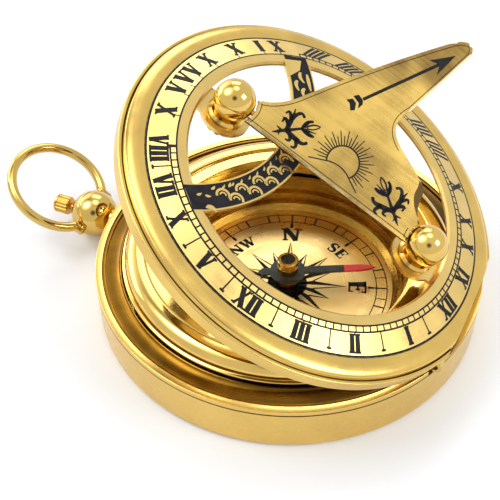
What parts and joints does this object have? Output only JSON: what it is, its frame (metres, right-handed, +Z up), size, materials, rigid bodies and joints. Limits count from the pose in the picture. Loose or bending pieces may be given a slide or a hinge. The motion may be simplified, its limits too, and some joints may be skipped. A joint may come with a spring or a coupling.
{
  "type": "pocket sundial compass",
  "caption": "Round brass pocket case with a compass under glass, a hinged lid carrying a Roman hour dial and a folding gnomon on ball posts, and a bow and push crown.",
  "frame": {"origin": "centre of the case's flat bottom", "axes": "+Z up along the case axis, +X towards the lid's hinge, +Y along the hinge line"},
  "size_m": [0.0844, 0.064, 0.0407],
  "materials": {
    "satin_brass": "satin, lacquered",
    "bezel_brass": "fine satin",
    "turned_brass": "turned",
    "polished_brass": "mirror polished",
    "mirror_brass": "mirror polished",
    "dial_brass": "silk finish with filled engraving",
    "brushed_brass": "brushed",
    "screw_brass": "machined",
    "dark_brass": "aged",
    "clear_glass": "polished",
    "blued_steel": "gloss paint, black with a red tip",
    "black_agate": "polished",
    "spring_steel": "drawn wire"
  },
  "bodies": {
    "case": {"lower_case": "satin_brass", "seat_ring": "turned_brass", "case_screws": "screw_brass", "case_knuckles": "satin_brass", "hinge_pin": "dark_brass", "compass_bowl": "turned_brass", "compass_bezel": "polished_brass", "compass_dial": "dial_brass", "dial_ring": "turned_brass", "compass_glass": "clear_glass", "glass_ring": "turned_brass", "pivot_post": "screw_brass", "pendant_neck": "screw_brass", "pendant_ball": "mirror_brass", "crown_spring": "spring_steel"},
    "lid": {"lid_bezel": "bezel_brass", "lid_knuckle": "satin_brass", "hour_dial": "dial_brass", "gnomon_posts": "mirror_brass", "post_collars": "mirror_brass", "post_nuts": "screw_brass"},
    "gnomon": {"gnomon_plate": "brushed_brass", "gnomon_pivots": "screw_brass"},
    "needle": {"compass_needle": "blued_steel", "needle_cap": "screw_brass", "cap_jewel": "black_agate"},
    "bow": {"bow_ring": "mirror_brass"},
    "button": {"push_crown": "screw_brass", "push_rod": "screw_brass", "lid_catch": "dark_brass"}
  },
  "joints": [
    {"name": "lid_hinge", "type": "hinge", "parent": "case", "child": "lid", "pos_m": [0.0293, 0, 0.00897], "axis": [0, 1, 0], "range_deg": [-28.5, 61.5]},
    {"name": "gnomon_fold", "type": "hinge", "parent": "lid", "child": "gnomon", "pos_m": [0.00675, 0, 0.02884], "axis": [0.8788, 0, -0.4772], "range_deg": [-27.5, 62]},
    {"name": "bow_swing", "type": "hinge", "parent": "case", "child": "bow", "pos_m": [-0.03738, -0.0013, 0.0045], "axis": [-0.0349, 0.9994, 0], "range_deg": [-42, 75]},
    {"name": "needle_spin", "type": "hinge", "parent": "case", "child": "needle", "pos_m": [0, 0, 0.0067], "axis": [0, 0, 1], "continuous": true},
    {"name": "button_push", "type": "slide", "parent": "case", "child": "button", "axis": [0.9994, 0.0349, 0], "range_m": [0, 0.0007], "stiffness_N_per_m": 150, "springref_m": -0.001}
  ]
}
